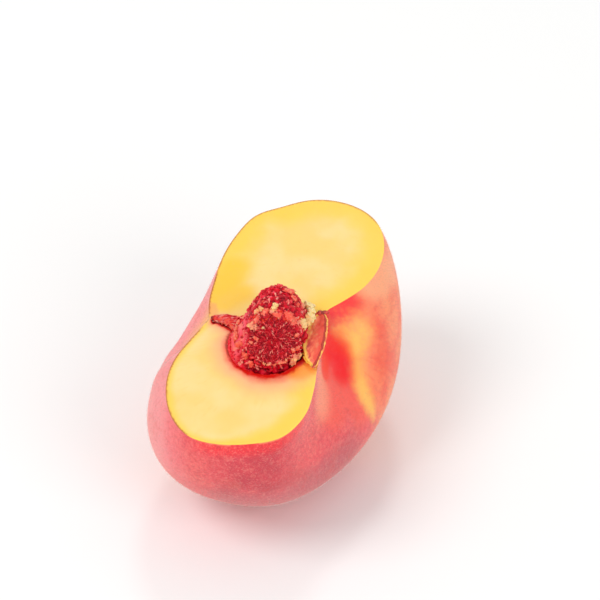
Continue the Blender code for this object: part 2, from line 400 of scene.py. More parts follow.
# Down in the hollow, depth below the cut takes the place of the distance, for painted shade that deepens
# with it
from_stone[in_hollow & ~on_cut] = out[in_hollow & ~on_cut]
golden_reach = 2.0 + 1.2 * fade(along, 0.0, 8.0) + 5.0 * fade(across, 3.0, 12.0)
golden_reach += 3.0 * fade(along, 4.0, 12.0) * fade(across, 12.0, 3.0)
note_on_vertices(half, "rim_share", from_skin / golden_reach)
note_on_vertices(half, "from_stone", from_stone)
note_on_vertices(half, "round_stone_mm", round_stone * MID_RADIUS_OF_STAIN)
left_rim = fade(along, -7.5, -10.0) * fade(across, 0.5, 2.0) * fade(across, 16.0, 12.0)
upper_rim = fade(across, 12.0, 16.0) * fade(along, 13.0, 9.0)
lower_rim = fade(across, -1.0, -4.0) * fade(along, -2.0, -6.0)
dark_line = np.max([left_rim, 0.8 * upper_rim, 0.9 * lower_rim], axis=0)
from_rim = np.full(len(places), FAR_FROM_RIM)
for side in rim_sides:
    from_rim = np.minimum(from_rim, distance_to_line(along, across, side))
note_on_vertices(half, "rim_line", fade(from_rim, DARK_LINE_WIDE, DARK_LINE_FULL) * dark_line)
note_on_vertices(half, "golden", fade(distance_to_line(along, across, GOLDEN_FLESH), 6.0, 0.5))
note_on_vertices(half, "salmon", fade(distance_to_line(along, across, SALMON_SPOTS), 2.0, 0.5))
to_orange_spot = np.hypot(along - ORANGE_SPOT[0], across - ORANGE_SPOT[1])
note_on_vertices(half, "orange_foot", fade(to_orange_spot, 5.0, 1.0))

# Skin marks: the yellow wedge along the suture, the red valley beside it, the orange cheek beyond it.
# Streaks are laid out on a lengthwise map of the skin, in millimetres round the stem and down the side.
MID_RADIUS_OF_SKIN = 20.0
SCAR_TO_PIT = 72.0
FAR_OUTSIDE = -20

turn = np.degrees(np.arctan2(-out, across))
radius = np.hypot(across, out)
blossom_side = fade(along, 0.0, 5.0)


def polar_line(corners):
    """Places in millimetres on the blossom side, from degrees round the stem axis and mm from it."""
    return [(r * math.cos(math.radians(t)), r * math.sin(math.radians(t))) for t, r in corners]


def stroke(corners, nothing_at, full_at):
    """A soft stroke along a line on the blossom side."""
    return fade(distance_to_line(across, -out, polar_line(corners)), nothing_at, full_at) * blossom_side


wedge_line = polar_line(YELLOW_WEDGE + YELLOW_WEDGE[:1])
into_wedge = distance_to_line(across, -out, wedge_line)
into_wedge[~is_inside(across, -out, zip(wedge_line, wedge_line[1:]))] *= -1
into_wedge *= 0.4 + 0.6 * fade(turn, 20.0, 60.0)
into_wedge[along < 4.0] = FAR_OUTSIDE
note_on_vertices(half, "into_wedge", into_wedge)
by_wedge_head = fade(turn, 75.0, 50.0) * fade(turn, 8.0, 22.0)
wedge_head = fade(into_wedge, -3.0, -0.3) * fade(radius, 11.0, 6.5) * by_wedge_head
note_on_vertices(half, "wedge_head", wedge_head)
right_of_wedge = fade(turn, 96.0, 70.0) * fade(along, -12.0, 8.0) * fade(radius, 7.0, 12.0)
stem_slope = fade(along, 6.0, -10.0) * fade(out, -6.0, -26.0) * fade(across, -28.0, -6.0)
note_on_vertices(half, "orange_cheek", right_of_wedge)
note_on_vertices(half, "stem_slope", stem_slope)
note_on_vertices(half, "red_valley", stroke(RED_VALLEY, 5.4, 0.0))
note_on_vertices(half, "painted_ridge_highlight", stroke(RIDGE_HIGHLIGHT_LINE, 6.0, 0.0))
note_on_vertices(half, "rose_shoulder", stroke(ROSE_SHOULDER, 3.6, 0.6))
note_on_vertices(half, "orange_streak", stroke(ORANGE_FOOT_OF_SCAR, 3.0, 0.4))
note_on_vertices(half, "peach_rim", stroke(PEACH_RIM, 6.0, 1.0))
# Painted sheen: paler pinks on the stem side, for the down seen there at a grazing angle
note_on_vertices(half, "painted_sheen_stem_side", fade(along, -4.0, -13.0) * fade(out, -24.0, -7.0))
note_on_vertices(half, "stem_pit", fade(radius, 9.0, 1.5) * fade(along, -6.0, -12.0))
blushed_rim = fade(along, -8.0, 1.0) * fade(across, -8.0, -14.0)
note_on_vertices(half, "red_rim", fade(from_skin, 6.0, 0.3) * blushed_rim)
note_on_vertices(half, "crimson", fade(np.linalg.norm(places - CRIMSON_PATCH, axis=1), 16.0, 1.0))
to_underside = np.min([np.linalg.norm(places - place, axis=1) for place in PAINTED_SHADE_UNDERSIDE], axis=0)
note_on_vertices(half, "painted_underside_shade", fade(to_underside, 14.0, 1.0))
note_on_vertices(half, "coral_flank", stroke(CORAL_FLANK, 7.5, 0.0))
note_on_vertices(half, "cheek_blush", stroke(CHEEK_BLUSH, 4.5, 0.5))
by_wedge_root = fade(turn, 80.0, 60.0) * fade(turn, 6.0, 24.0)
note_on_vertices(half, "wedge_root", fade(radius, 9.5, 4.5) * by_wedge_root * blossom_side)
note_on_vertices(half, "round_stem_mm", np.radians(turn) * MID_RADIUS_OF_SKIN)
note_on_vertices(half, "down_the_side_mm", np.where(along > 0, radius, SCAR_TO_PIT - radius))
# Painted sheen of the down on the stem side, seen at a grazing angle
note_on_vertices(half, "painted_sheen_pale_side", fade(along, 0.0, -10.0) * fade(out, -24.0, -7.0))


def painted(material, ground, coats):
    """A ground colour under thin coats of others. A coat goes on where a mark on the vertices, or a
    pattern, passes from one value to another; a second pattern and its share make its edge uneven."""
    colour = srgb(ground)
    for where, start, end, most, tint, *uneven in coats:
        if isinstance(where, str):
            where = add_node(material, "Attribute", outlet="Fac", attribute_name=where)
        if uneven:
            pattern, share = uneven
            where = add_node(material, "Math", {0: pattern, 1: share, 2: where}, operation="MULTIPLY_ADD")
            start, end = start + share / 2, end + share / 2
        through = add_node(material, "MapRange", {
            "Value": where, "From Min": start, "From Max": end, "To Max": most,
        }, interpolation_type="SMOOTHSTEP")
        mixed = {0: through, 6: colour, 7: srgb(tint)}
        colour = add_node(material, "Mix", mixed, outlet=2, data_type="RGBA")
    return colour


# Skin: a soft, matt, velvety peel. Rose over orange, with crimson mottle that runs in streaks from stem to
# scar, and a fine speckle under the down. How wide each pattern's patches are, in millimetres:
PATCH_WIDE = 15.0
BLUSH_WIDE = 6.0
MOTTLE_WIDE = 0.9
SPECKLE_WIDE = 0.4
STREAK_WIDE = 1.4
STREAK_SQUEEZE = 0.35

skin_place = add_node(skin, "TexCoord", outlet="Object")
patchy = add_node(skin, "TexNoise", {"Vector": skin_place, "Scale": 1 / (PATCH_WIDE * MM), "Detail": 3.0})
broad = add_node(skin, "TexNoise", {"Vector": skin_place, "Scale": 1 / (BLUSH_WIDE * MM), "Detail": 4.0})
mottle = add_node(skin, "TexNoise", {"Vector": skin_place, "Scale": 1 / (MOTTLE_WIDE * MM), "Detail": 4.0})
speckle = add_node(skin, "TexNoise", {"Vector": skin_place, "Scale": 1 / (SPECKLE_WIDE * MM)})
streak_way = add_node(skin, "CombineXYZ", {
    "X": add_node(skin, "Attribute", outlet="Fac", attribute_name="round_stem_mm"),
    "Y": add_node(skin, "Math", {
        0: add_node(skin, "Attribute", outlet="Fac", attribute_name="down_the_side_mm"), 1: STREAK_SQUEEZE,
    }, operation="MULTIPLY"),
})
streaks = add_node(skin, "TexNoise", {"Vector": streak_way, "Scale": 1 / STREAK_WIDE, "Detail": 4.0})
skin_colour = painted(skin, "#EA545C", [
    (broad, 0.35, 0.65, 0.6, "#F2706C"),
    (streaks, 0.5, 0.7, 0.3, "#DC4452"),
    (streaks, 0.5, 0.3, 0.2, "#FA8074"),
    # painted shade along the underside
    ("painted_underside_shade", 0.2, 1.0, 0.7, "#B05A66", broad, 0.7),
    ("crimson", 0.1, 1.1, 0.75, "#B82C42", broad, 1.5),
    ("red_rim", 0.3, 1.0, 0.8, "#F6343C", broad, 0.8),
    (mottle, 0.48, 0.74, 0.3, "#C03A4A", broad, 0.5),
    (mottle, 0.5, 0.28, 0.13, "#FFAC98", broad, 0.3),
    (speckle, 0.52, 0.7, 0.2, "#B03448"),
    (speckle, 0.46, 0.3, 0.14, "#FFC4B0"),
    ("stem_slope", 0.3, 1.1, 0.9, "#FF9A68", patchy, 2.4),
    ("stem_slope", 0.8, 1.6, 0.5, "#EE5048", streaks, 2.0),
    # painted sheen of the down on the stem side
    ("painted_sheen_pale_side", 0.1, 1.0, 0.75, "#F78286", patchy, 0.9),
    ("painted_sheen_stem_side", 0.3, 1.1, 0.6, "#F6A6A6", patchy, 1.2),
    ("orange_cheek", 0.1, 0.9, 1.0, "#FF9468", broad, 1.0),
    ("orange_cheek", 0.7, 1.7, 0.7, "#F86450", broad, 3.0),
    ("orange_cheek", 0.9, 1.6, 0.35, "#EE5044", streaks, 3.0),
    ("coral_flank", 0.0, 0.9, 0.85, "#FC6254"),
    (mottle, 0.48, 0.68, 0.24, "#DC4A46", broad, 0.3),
    (speckle, 0.52, 0.7, 0.1, "#C03A40"),
    # painted highlight along the ridge below the cut's lower corner
    ("painted_ridge_highlight", 0.0, 1.0, 0.8, "#FF9C7C", broad, 0.4),
    ("peach_rim", 0.0, 1.0, 0.8, "#FFB083"),
    ("orange_streak", 0.0, 0.9, 0.95, "#FC3C22", broad, 0.4),
    ("rose_shoulder", 0.0, 1.0, 0.9, "#F0343C", broad, 0.5),
    ("wedge_head", 0.0, 1.0, 0.85, "#FF9650"),
    ("cheek_blush", 0.1, 1.2, 0.5, "#F25646", broad, 1.4),
    ("into_wedge", -1.4, 1.4, 1.0, "#FFBE62", mottle, 1.5),
    ("wedge_root", 0.1, 1.0, 0.85, "#FA7A42", broad, 0.3),
    ("red_valley", 0.1, 1.0, 0.92, "#F81822", broad, 0.7),
    ("stem_pit", 0.1, 0.8, 0.7, "#F2BE68", broad, 0.4),
    ("stem_pit", 0.8, 0.98, 0.7, "#DDA252"),
    ("stem_pit", 0.97, 1.0, 0.8, "#B0703E"),
])
set_surface(skin, {
    "Base Color": skin_colour,
    "Roughness": 0.78,
    "IOR": 1.42,
    "Specular IOR Level": 0.3,
    "Subsurface Weight": 0.12,
    "Subsurface Scale": 1.2 * MM,
    "Sheen Weight": 0.35,
    "Sheen Roughness": 0.45,
    "Sheen Tint": srgb("#FFE6DC"),
    "Normal": add_node(skin, "Bump", {"Height": speckle, "Strength": 0.5, "Distance": 0.08 * MM}),
})

# Flesh: moist, soft and slightly see-through. Cream in the middle, golden under the skin, crimson and
# then peach where the stone has stained it; the stain reaches wider below the stone, partly as painted
# shadow, and the hollow is darkened with depth by painted shade. Fibres run out from the stone.
# Widths in millimetres:
CLOUD_WIDE = 9.0
SWIRL_WIDE = 2.2
FLESH_FIBRE_WIDE = 0.5
FLESH_FIBRE_SQUEEZE = 0.1

flesh_place = add_node(flesh, "TexCoord", outlet="Object")
cloud = add_node(flesh, "TexNoise", {"Vector": flesh_place, "Scale": 1 / (CLOUD_WIDE * MM)})
swirl = add_node(flesh, "TexNoise", {"Vector": flesh_place, "Scale": 1 / (SWIRL_WIDE * MM), "Detail": 3.0})
fibre_way = add_node(flesh, "CombineXYZ", {
    "X": add_node(flesh, "Attribute", outlet="Fac", attribute_name="round_stone_mm"),
    "Y": add_node(flesh, "Math", {
        0: add_node(flesh, "Attribute", outlet="Fac", attribute_name="from_stone"), 1: FLESH_FIBRE_SQUEEZE,
    }, operation="MULTIPLY"),
})
fibres = add_node(flesh, "TexNoise", {"Vector": fibre_way, "Scale": 1 / FLESH_FIBRE_WIDE})
set_surface(flesh, {
    "Base Color": painted(flesh, "#FBD27A", [
        (cloud, 0.35, 0.7, 0.8, "#FCDB96"),
        ("rim_share", 1.1, 0.2, 0.85, "#FFD04A", cloud, 0.9),
        ("golden", 0.0, 1.0, 0.8, "#FFC83A"),
        (fibres, 0.55, 0.75, 0.2, "#F7C766"),
        ("from_stone", 8.0, 1.6, 0.78, "#FDB088", swirl, 1.8),
        ("from_stone", 3.2, 1.1, 0.85, "#FA7C62", swirl, 1.8),
        ("orange_foot", 0.0, 1.0, 0.8, "#FF9A28"),
        # red stain round the stone, spread wider below it partly as painted shadow
        ("from_stone", 1.6, 0.7, 1.0, "#DC1408", swirl, 1.8),
        # painted shade: darker with depth down the hollow
        ("from_stone", -0.4, -2.0, 1.0, "#9C0812"),
        ("salmon", 0.2, 1.1, 0.7, "#F8AA6C", swirl, 1.4),
        ("rim_line", 0.0, 1.0, 0.85, "#A8442C"),
    ]),
    "Roughness": 0.42,
    "IOR": 1.36,
    "Subsurface Weight": 0.35,
    "Subsurface Radius": (1.0, 0.6, 0.25),
    "Subsurface Scale": 1.5 * MM,
    "Normal": add_node(flesh, "Bump", {"Height": fibres, "Strength": 0.4, "Distance": 0.08 * MM}),
})

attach(half, "root")
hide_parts("fruit_half")
bpy.ops.object.shade_smooth_by_angle(angle=math.radians(35))


# Stone: hard, deeply furrowed and wet with juice. Its crests are rosy, partly where torn flesh still clings
# and partly as painted highlight, and its furrows are painted dark as shade. The imported solid gives its
# form, and grains of three sizes break up the surface.

# Places of its parts, in fruit millimetres
LOWER_FACE = Vector((5.0, -8.6, 6.7))
COLLAR = Vector((-3.6, -6.0, 3.2))
COLLAR_SHAPE = (1, 0.55, 0.8)
FLESH_BAND = [
    (0.5, -4.8, 8.2), (2.0, -5.6, 8.6), (3.6, -4.8, 9.3),
    (5.2, -4.4, 9.3), (7.0, -3.8, 8.2), (8.4, -2.0, 6.0),
]
STRAND_FROM, STRAND_FULL = -5.6, -7.0
HOLLOW_FILL = 0.1

# Each grain: its pattern, size and depth in millimetres, the level that stays in place, and where it is
STONE_GRAINS = [
    ("VORONOI", 1.7, 1.4, 0.2, "coarse"),
    ("VORONOI", 0.8, 0.45, 0.2, "fine"),
    ("CLOUDS", 0.5, 0.35, 0.5, ""),
]

stone = copy_of_node("stone", "peach_stone")
bpy.ops.object.mode_set(mode="OBJECT")
apply_modifier(stone, "SUBSURF", levels=2, render_levels=2)


def roughen(piece, kind, size, depth, middle, group="", coords="LOCAL"):
    """Raises and lowers a surface by clouds, or by rounded grains with cracks between them."""
    texture = bpy.data.textures.new(kind.lower(), kind)
    texture.noise_scale = size
    if kind == "VORONOI":
        texture.weight_1, texture.weight_2 = -1.0, 1.0
    apply_modifier(
        piece, "DISPLACE", texture=texture, strength=depth, mid_level=middle, vertex_group=group,
        texture_coords=coords,
    )


smooth_places = vertex_places(stone)
to_face = np.linalg.norm(smooth_places - np.array(LOWER_FACE), axis=1)
on_lower_face = fade(to_face, 5.6, 4.0)
on_strand = fade(smooth_places[:, 0], STRAND_FROM, STRAND_FULL)
to_collar = np.linalg.norm((smooth_places - np.array(COLLAR)) * COLLAR_SHAPE, axis=1)
on_collar = fade(to_collar, 4.5, 2.0)

# On the stem side the stone swells a little, sideways only along the strand, until the flesh touches it
touching = fade(smooth_places[:, 2], 2.0, 0.3) * fade(smooth_places[:, 0], 3.0, -1.0)
swell = (smooth_places - np.array(STONE_CENTRE)) * (1, 1, 0)
swell /= np.linalg.norm(swell, axis=1)[:, None] + 1e-6
swell = np.where(on_strand[:, None] > 0.5, np.sign(swell) * (0, 1, 0), swell)
smooth_places = smooth_places + HOLLOW_FILL * touching[:, None] * swell
move_to(stone, smooth_places)
for name, shares in [
    ("coarse", (1 - on_lower_face) * (1 - 0.6 * on_strand) * (1 - 0.85 * on_collar)),
    ("fine", 1 - 0.8 * on_collar),
]:
    group = stone.vertex_groups.new(name=name)
    for number, share in enumerate(shares):
        group.add([number], share, "REPLACE")
for kind, size, depth, middle, group_name in STONE_GRAINS:
    roughen(stone, kind, size * MM, depth * MM, middle, group_name)
stone_places = vertex_places(stone)
outward = smooth_places - np.array(STONE_CENTRE)
outward /= np.linalg.norm(outward, axis=1)[:, None]
note_on_vertices(stone, "crest", ((stone_places - smooth_places) * outward).sum(axis=1))
note_on_vertices(stone, "collar", on_collar)
note_on_vertices(stone, "strand", on_strand)
# Painted shade: the strand's end is darkened where it stands for the hole there
note_on_vertices(stone, "painted_shade_strand_tip", fade(stone_places[:, 0], -10.8, -11.6))
to_band = np.min([np.linalg.norm(stone_places - place, axis=1) for place in FLESH_BAND], axis=0)
note_on_vertices(stone, "band", fade(to_band, 2.2, 0.6))
note_on_vertices(stone, "lower_face", on_lower_face)

# Wet stone: woody and soaked with red juice. Its crests are painted lighter and pinker, partly torn flesh
# and partly painted highlight, and its cracks are painted nearly black as shade. Widths in millimetres:
STAIN_WIDE = 1.8
WOOD_GRAIN_WIDE = 0.35

wet_stone = new_material("wet_peach_stone")
stone_place = add_node(wet_stone, "TexCoord", outlet="Object")
stone_swirl = add_node(wet_stone, "TexNoise", {
    "Vector": stone_place, "Scale": 1 / (STAIN_WIDE * MM), "Detail": 3.0,
})
stone_grain = add_node(wet_stone, "TexNoise", {"Vector": stone_place, "Scale": 1 / (WOOD_GRAIN_WIDE * MM)})
set_surface(wet_stone, {
    "Base Color": painted(wet_stone, "#DC0A24", [
        (stone_swirl, 0.4, 0.6, 0.7, "#DC1028"),
        ("lower_face", 0.0, 1.0, 0.8, "#B80418"),
        # painted shade: dark in the furrows; pink on the crests, partly torn flesh, partly painted highlight
        ("crest", 0.0, -0.4, 0.9, "#70020F", stone_grain, 0.3),
        ("crest", 0.0, 0.22, 0.85, "#FA3048", stone_grain, 0.3),
        ("crest", 0.18, 0.4, 0.8, "#FF7080", stone_grain, 0.3),
        ("band", 0.3, 0.9, 0.85, "#F84428", stone_swirl, 1.2),
        ("collar", 0.1, 0.9, 0.95, "#FF5C6A"),
        ("collar", 0.9, 1.5, 0.9, "#FF8670", stone_swirl, 3.0),
        ("strand", 0.0, 1.0, 0.85, "#F0382E"),
        ("strand", 0.9, 1.4, 0.9, "#FF7A5C", stone_swirl, 3.0),
        # painted shade of the hole at the strand's end
        ("painted_shade_strand_tip", 0.0, 1.0, 0.9, "#6A1214"),
    ]),
    "Roughness": 0.42,
    "IOR": 1.4,
    "Specular IOR Level": 0.15,
    "Coat Weight": 0.1,
    "Coat Roughness": 0.15,
    "Subsurface Weight": 0.2,
    "Subsurface Radius": (1.0, 0.25, 0.2),
    "Subsurface Scale": 1.0 * MM,
    "Normal": add_node(wet_stone, "Bump", {"Height": stone_grain, "Strength": 0.5, "Distance": 0.12 * MM}),
})
stone.data.materials.append(wet_stone)
bpy.ops.object.shade_smooth()
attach(stone, "root")
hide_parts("stone")


# Fibres: the torn threads of flesh that stay on a clingstone, thin bent tapered bristles that spread over
# its lower face, short thick nubs elsewhere, and threads along the strand. They lie close along the stone.

# Sizes in fruit millimetres; the first of a pair is the least and the second the most
BRISTLE_COUNT = 650
NUB_COUNT = 1000
STRAND_THREAD_COUNT = 160
FIBRE_LONG = (0.6, 1.2)
BRISTLE_LONG = (0.35, 0.9)
FIBRE_THICK = 0.24
BRISTLES_WITHIN = 5.0
NUBS_BEYOND = 4.6
NUBS_ABOVE = 0.4
COLLAR_BARE_WITHIN = 2.4
THREADS_BEFORE = -5.5

# One fibre, 1 long: it rises out of the surface, bends aside, and its thin tip dips back in
bpy.ops.curve.primitive_bezier_curve_add()
fibre_curve = bpy.context.object
fibre_curve.data.bevel_depth = 0.5
fibre_curve.data.bevel_resolution = 0
fibre_curve.data.resolution_u = 4
fibre_curve.data.use_fill_caps = True
start, end = fibre_curve.data.splines[0].bezier_points
start.co, start.handle_left, start.handle_right = (0, 0, -0.5), (-0.3, 0, -1.0), (0.35, 0, 0.9)
end.co, end.handle_left, end.handle_right = (1, 0, -1.0), (0.7, 0.8, 0.5), (1.3, 0, -2.0)
start.radius, end.radius = 1.0, 0.25
bpy.ops.object.convert(target="MESH")
one_fibre = bpy.context.object


def joined(pieces, name):
    """The pieces as one object, with their places kept in its mesh."""
    bpy.ops.object.select_all(action="DESELECT")
    for piece in pieces:
        piece.select_set(True)
    bpy.context.view_layer.objects.active = pieces[0]
    bpy.ops.object.join()
    bpy.context.object.name = name
    bpy.ops.object.transform_apply(location=True, rotation=True, scale=True)
    return bpy.context.object


def copy_at(template, place, size, upward, heading, tones):
    """A copy with its own mesh at a place in fruit millimetres: its Z axis upward, its X axis heading on.
    The tones are kept on its vertices."""
    upward = upward.normalized()
    side = upward.cross(heading).normalized()
    turned = Matrix((side.cross(upward), side, upward)).transposed().to_4x4()
    copy = bpy.data.objects.new(template.name, template.data.copy())
    scene.collection.objects.link(copy)
    note_on_vertices(copy, "tone", tones)
    scale = Matrix.Diagonal((*[length * MM for length in size], 1))
    copy.matrix_world = fruit_to_part @ Matrix.Translation(place * MM) @ turned @ scale
    return copy


rng = random.Random(31)
stone_faces = [face for face in stone.data.polygons if (part_to_fruit @ face.center).z > -0.2 * MM]
face_places = [part_to_fruit @ face.center / MM for face in stone_faces]
bristly, nubbly, stringy = [], [], []
for face, place in zip(stone_faces, face_places):
    from_face = (place - LOWER_FACE).length
    on_nub_ground = from_face > NUBS_BEYOND and (place - COLLAR).length > COLLAR_BARE_WITHIN
    bristly.append(face.area * (from_face < BRISTLES_WITHIN))
    nubbly.append(face.area * (place.x > THREADS_BEFORE and place.z > NUBS_ABOVE and on_nub_ground))
    stringy.append(face.area * (place.x < THREADS_BEFORE))
fibres_made = []


def out_of_stone(place):
    return Vector([(a - c) / r ** 2 for a, c, r in zip(place, STONE_CENTRE, STONE_RADII)]).normalized()


def out_of_strand(place):
    return Vector((0, 0.4 * (place.y - 0.3), 1)).normalized()


def grow_fibres(count, odds, outward_at, way_at, wander, thick, tone, long, lift, fading=1.0, height=1.0):
    """Lays fibres on faces drawn by their odds. Each heads along a way, and wanders off it, close to the
    surface. Fading draws more of the tones toward the dark end."""
    for place in rng.choices(face_places, weights=odds, k=count):
        upward = outward_at(place)
        heading = way_at(place) + wander * Vector([rng.gauss(0, 1) for axis in range(3)])
        heading -= upward * heading.dot(upward)
        thickness = FIBRE_THICK * rng.uniform(*thick)
        tones = np.full(len(one_fibre.data.vertices), rng.uniform(*tone) ** fading)
        size = (rng.uniform(*long), thickness, height * thickness)
        fibres_made.append(copy_at(one_fibre, place + lift * upward, size, upward, heading, tones))


grow_fibres(
    BRISTLE_COUNT, bristly, out_of_stone, lambda place: place - LOWER_FACE, wander=2.5,
    thick=(0.5, 1.1), tone=(0.0, 1.0), long=BRISTLE_LONG, lift=0.12, fading=1.6, height=1.3,
)
grow_fibres(
    NUB_COUNT, nubbly, out_of_stone, lambda place: Vector((0, 0, 0)), wander=1.0,
    thick=(1.6, 3.0), tone=(0.15, 1.05), long=FIBRE_LONG, lift=-0.15,
)
grow_fibres(
    STRAND_THREAD_COUNT, stringy, out_of_strand, lambda place: Vector((1, 0.3, 0)), wander=0.25,
    thick=(0.6, 1.1), tone=(0.3, 1.1), long=FIBRE_LONG, lift=0.05,
)
bpy.data.objects.remove(one_fibre)
threads = joined(fibres_made, "stone_fibres")

# Thread flesh: thin wet threads that light shines into, from dark red to peach
THREAD_BLOTCH_WIDE = 0.7

thread_flesh = new_material("torn_flesh_threads")
thread_blotch = add_node(thread_flesh, "TexNoise", {
    "Vector": add_node(thread_flesh, "TexCoord", outlet="Object"), "Scale": 1 / (THREAD_BLOTCH_WIDE * MM),
})
set_surface(thread_flesh, {
    "Base Color": painted(thread_flesh, "#9A0418", [
        ("tone", 0.05, 0.4, 1.0, "#DA1028", thread_blotch, 0.8),
        ("tone", 0.4, 0.75, 1.0, "#FA444C", thread_blotch, 0.8),
        ("tone", 0.75, 1.1, 1.0, "#FFA08C", thread_blotch, 0.8),
    ]),
    "Roughness": 0.35,
    "IOR": 1.4,
    "Specular IOR Level": 0.3,
    "Subsurface Weight": 0.3,
    "Subsurface Radius": (1.0, 0.3, 0.2),
    "Subsurface Scale": 0.5 * MM,
})
threads.data.materials.append(thread_flesh)
bpy.ops.object.shade_smooth()
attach(threads, "root")


# Torn flesh: soft lumps that stuck to the stone when the halves were pulled apart, a ragged band of them
# across its middle, a heap beside the blossom scar and a row round its foot. Each is a pulled, pitted blob.

# Each lump: its place in fruit millimetres, how long, wide and thick it is, and how red on a scale of 0 to 1
TORN_FLESH = [
    ((7.4, 5.4, 2.9), (3.6, 2.8, 2.5), 0.0),
    ((8.3, 4.0, 3.3), (2.7, 2.3, 2.1), 0.05),
    ((8.7, 2.4, 3.5), (2.4, 2.0, 1.8), 0.1),
    ((7.0, 3.0, 5.6), (1.9, 1.3, 1.0), 0.6),
    ((8.9, 0.9, 3.9), (2.2, 1.9, 1.6), 0.35),
    ((8.6, -0.9, 4.9), (3.0, 2.2, 1.6), 0.25),
    ((8.3, -2.2, 5.9), (2.0, 1.4, 1.0), 0.6),
    ((7.8, -3.4, 7.5), (2.3, 1.6, 0.7), 0.9),
    ((6.9, -3.2, 8.7), (2.5, 1.8, 0.7), 0.9),
    ((4.9, -4.1, 9.4), (2.2, 1.8, 0.7), 0.85),
    ((4.1, -2.9, 10.1), (1.4, 1.2, 1.2), 0.25),
    ((4.0, -3.9, 9.7), (1.7, 1.2, 0.8), 0.6),
    ((2.6, -4.4, 9.3), (2.4, 1.8, 0.7), 0.9),
    ((1.4, -3.5, 9.3), (1.4, 0.8, 1.1), 0.4),
    ((0.5, -3.9, 8.7), (0.9, 1.5, 0.9), 0.5),
    ((1.4, -5.6, 8.2), (2.5, 1.9, 0.8), 0.9),
    ((0.3, -6.4, 7.2), (1.5, 1.8, 1.1), 0.6),
    ((1.5, -6.9, 7.5), (1.3, 1.0, 0.8), 0.7),
    ((3.1, -7.2, 8.0), (0.7, 0.6, 0.6), 0.2),
    ((1.9, -8.4, 5.9), (1.3, 0.8, 0.7), 0.8),
    ((0.9, -8.9, 5.1), (1.0, 0.7, 0.6), 0.85),
    ((8.8, -5.2, 5.6), (1.3, 0.8, 0.7), 0.75),
    ((9.3, -6.0, 3.0), (1.5, 0.9, 0.8), 0.85),
    ((8.8, -7.3, 3.6), (1.3, 0.8, 0.7), 0.75),
    ((8.9, -7.6, 1.5), (3.0, 1.4, 1.2), 0.56),
    ((9.3, -6.3, 1.0), (1.6, 1.1, 1.0), 0.5),
    ((7.2, -10.0, 2.4), (2.1, 0.7, 0.7), 0.75),
    ((5.1, -11.0, 2.3), (1.0, 0.6, 0.6), 0.7),
    ((4.2, -11.1, 2.4), (0.7, 0.6, 0.7), 0.5),
    ((6.1, -10.6, 2.1), (0.9, 0.5, 0.6), 0.8),
    ((8.0, -9.2, 2.4), (1.0, 0.6, 0.6), 0.6),
    ((4.8, 3.2, 8.8), (2.8, 1.9, 0.9), 0.8),
    ((6.0, 2.1, 8.3), (1.9, 1.4, 0.8), 0.85),
    ((7.1, 1.2, 7.4), (1.5, 1.0, 0.7), 0.95),
    ((-4.2, -4.6, 3.3), (2.4, 1.7, 0.8), 0.9),
    ((-3.6, -6.4, 3.4), (2.2, 1.6, 0.8), 0.85),
    ((-2.2, -8.3, 3.2), (2.2, 1.5, 0.8), 0.9),
    ((-0.4, -10.0, 2.2), (2.0, 1.3, 0.7), 0.85),
    ((-4.4, -2.9, 3.6), (1.8, 1.4, 0.8), 0.8),
    ((1.2, -11.0, 1.4), (1.7, 1.1, 0.7), 0.9),
]
CRUMB_COUNT = 70
CRUMB_WIDE = (0.3, 0.65)
CRUMB_FACES_KEPT = 0.1
BLOB_SHAPES = 5
BLOBS_APART = 3.0

# A blob is 1 across before it is scaled, and the blobs stand apart, so that the grains shape each one
# differently. Each grain: its pattern, size, depth and the level that stays
BLOB_GRAINS = [("CLOUDS", 0.55, 0.7, 0.5), ("VORONOI", 0.35, 0.5, 0.2), ("CLOUDS", 0.1, 0.18, 0.5)]

blobs = []
for shape in range(BLOB_SHAPES):
    bpy.ops.mesh.primitive_ico_sphere_add(subdivisions=4, radius=0.5, location=(BLOBS_APART * shape, 0, 0))
    blob = bpy.context.object
    for kind, size, depth, middle in BLOB_GRAINS:
        roughen(blob, kind, size, depth, middle, coords="GLOBAL")
    blobs.append(blob)


def scrap(place, size, redness):
    """One scrap in one of the blobs' shapes, flat on the stone and redder at its foot."""
    upward = place - STONE_CENTRE
    heading = Vector([rng.gauss(0, 1) for axis in range(3)])
    blob = rng.choice(blobs)
    tones = np.array([redness + 0.7 * max(0.0, 0.15 - vert.co.z) for vert in blob.data.vertices])
    return copy_at(blob, place, size, upward, heading, tones)


scraps = [scrap(Vector(place), size, redness) for place, size, redness in TORN_FLESH]
for blob in blobs:
    apply_modifier(blob, "DECIMATE", ratio=CRUMB_FACES_KEPT)
for face in rng.choices(stone_faces, weights=[face.area for face in stone_faces], k=CRUMB_COUNT):
    place = part_to_fruit @ face.center / MM
    wide = rng.uniform(*CRUMB_WIDE)
    size = (wide * rng.uniform(1, 1.8), wide, wide * 0.8)
    scraps.append(scrap(place, size, rng.uniform(0.75, 1.2)))
for blob in blobs:
    bpy.data.objects.remove(blob)
torn = joined(scraps, "torn_flesh")

# Torn wet flesh: soft and soaked, so it glistens and light spreads a little inside it; cream to crimson
TORN_BLOTCH_WIDE = 0.8
TORN_GRAIN_WIDE = 0.2

